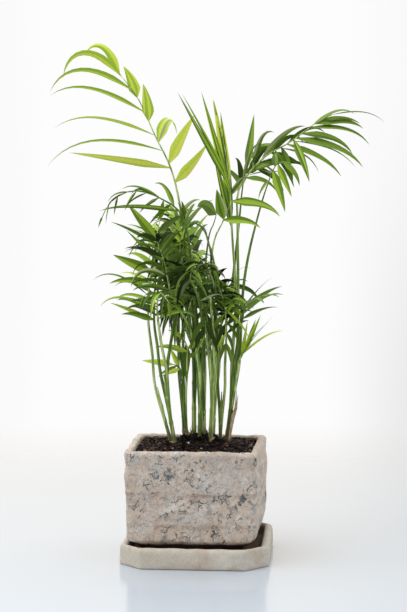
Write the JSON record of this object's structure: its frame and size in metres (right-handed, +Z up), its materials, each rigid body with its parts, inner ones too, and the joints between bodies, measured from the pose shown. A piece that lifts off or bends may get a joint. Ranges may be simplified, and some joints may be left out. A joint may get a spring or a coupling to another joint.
{
  "type": "potted cat palm",
  "caption": "Young clumping palm with slim canes and arching feathered fronds, growing in a square rustic clay pot on a low saucer.",
  "frame": {"origin": "middle of the saucer's flat underside, on the surface that it stands on", "axes": "+Z up along the canes, -Y towards the pot's front"},
  "size_m": [0.3318, 0.2098, 0.5107],
  "materials": {
    "pot": "rough unglazed clay, pinkish beige with dark cracks",
    "saucer": "rough unglazed clay, grey beige",
    "soil": "damp bark and fibre, near black",
    "cane": "smooth green stem",
    "leaf": "satin green leaf",
    "leaf_young": "satin yellow-green young leaf",
    "leaf_dark": "satin deep green leaf"
  },
  "bodies": {
    "root": {"saucer": "saucer", "pot": "pot", "soil": "soil", "cane_left_outer": "cane", "cane_left_inner": "cane", "cane_left_back": "cane", "cane_left_front": "cane", "cane_middle_left": "cane", "cane_middle_front": "cane", "cane_middle": "cane", "cane_middle_right": "cane", "cane_back": "cane", "cane_back_right": "cane", "cane_right_inner": "cane", "cane_right_outer": "cane", "frond_crown_left": "leaf_young", "frond_right_second": "leaf", "frond_crown_right": "leaf_dark", "frond_crown_back": "leaf_dark", "frond_spear": "leaf_young", "frond_inner_dark": "leaf_dark", "frond_inner_bright": "leaf", "frond_arch_left": "leaf_dark", "frond_left_a": "leaf", "frond_left_b": "leaf", "frond_left_c": "leaf_dark", "frond_left_low": "leaf_young", "frond_left_low_high": "leaf_young", "frond_back_left": "leaf", "frond_back_up": "leaf", "frond_spike": "leaf", "frond_leaning": "leaf_dark", "frond_front": "leaf_dark", "frond_front_right": "leaf_dark", "frond_arch_right": "leaf_dark", "frond_middle_up": "leaf_dark", "frond_back_middle": "leaf", "frond_back_arch": "leaf_dark", "frond_back_low": "leaf", "frond_right_hang": "leaf_dark", "frond_right_inner_up": "leaf_dark", "frond_right_inner_small": "leaf_dark", "frond_right_star": "leaf", "frond_right_fan": "leaf_young"}
  },
  "joints": []
}
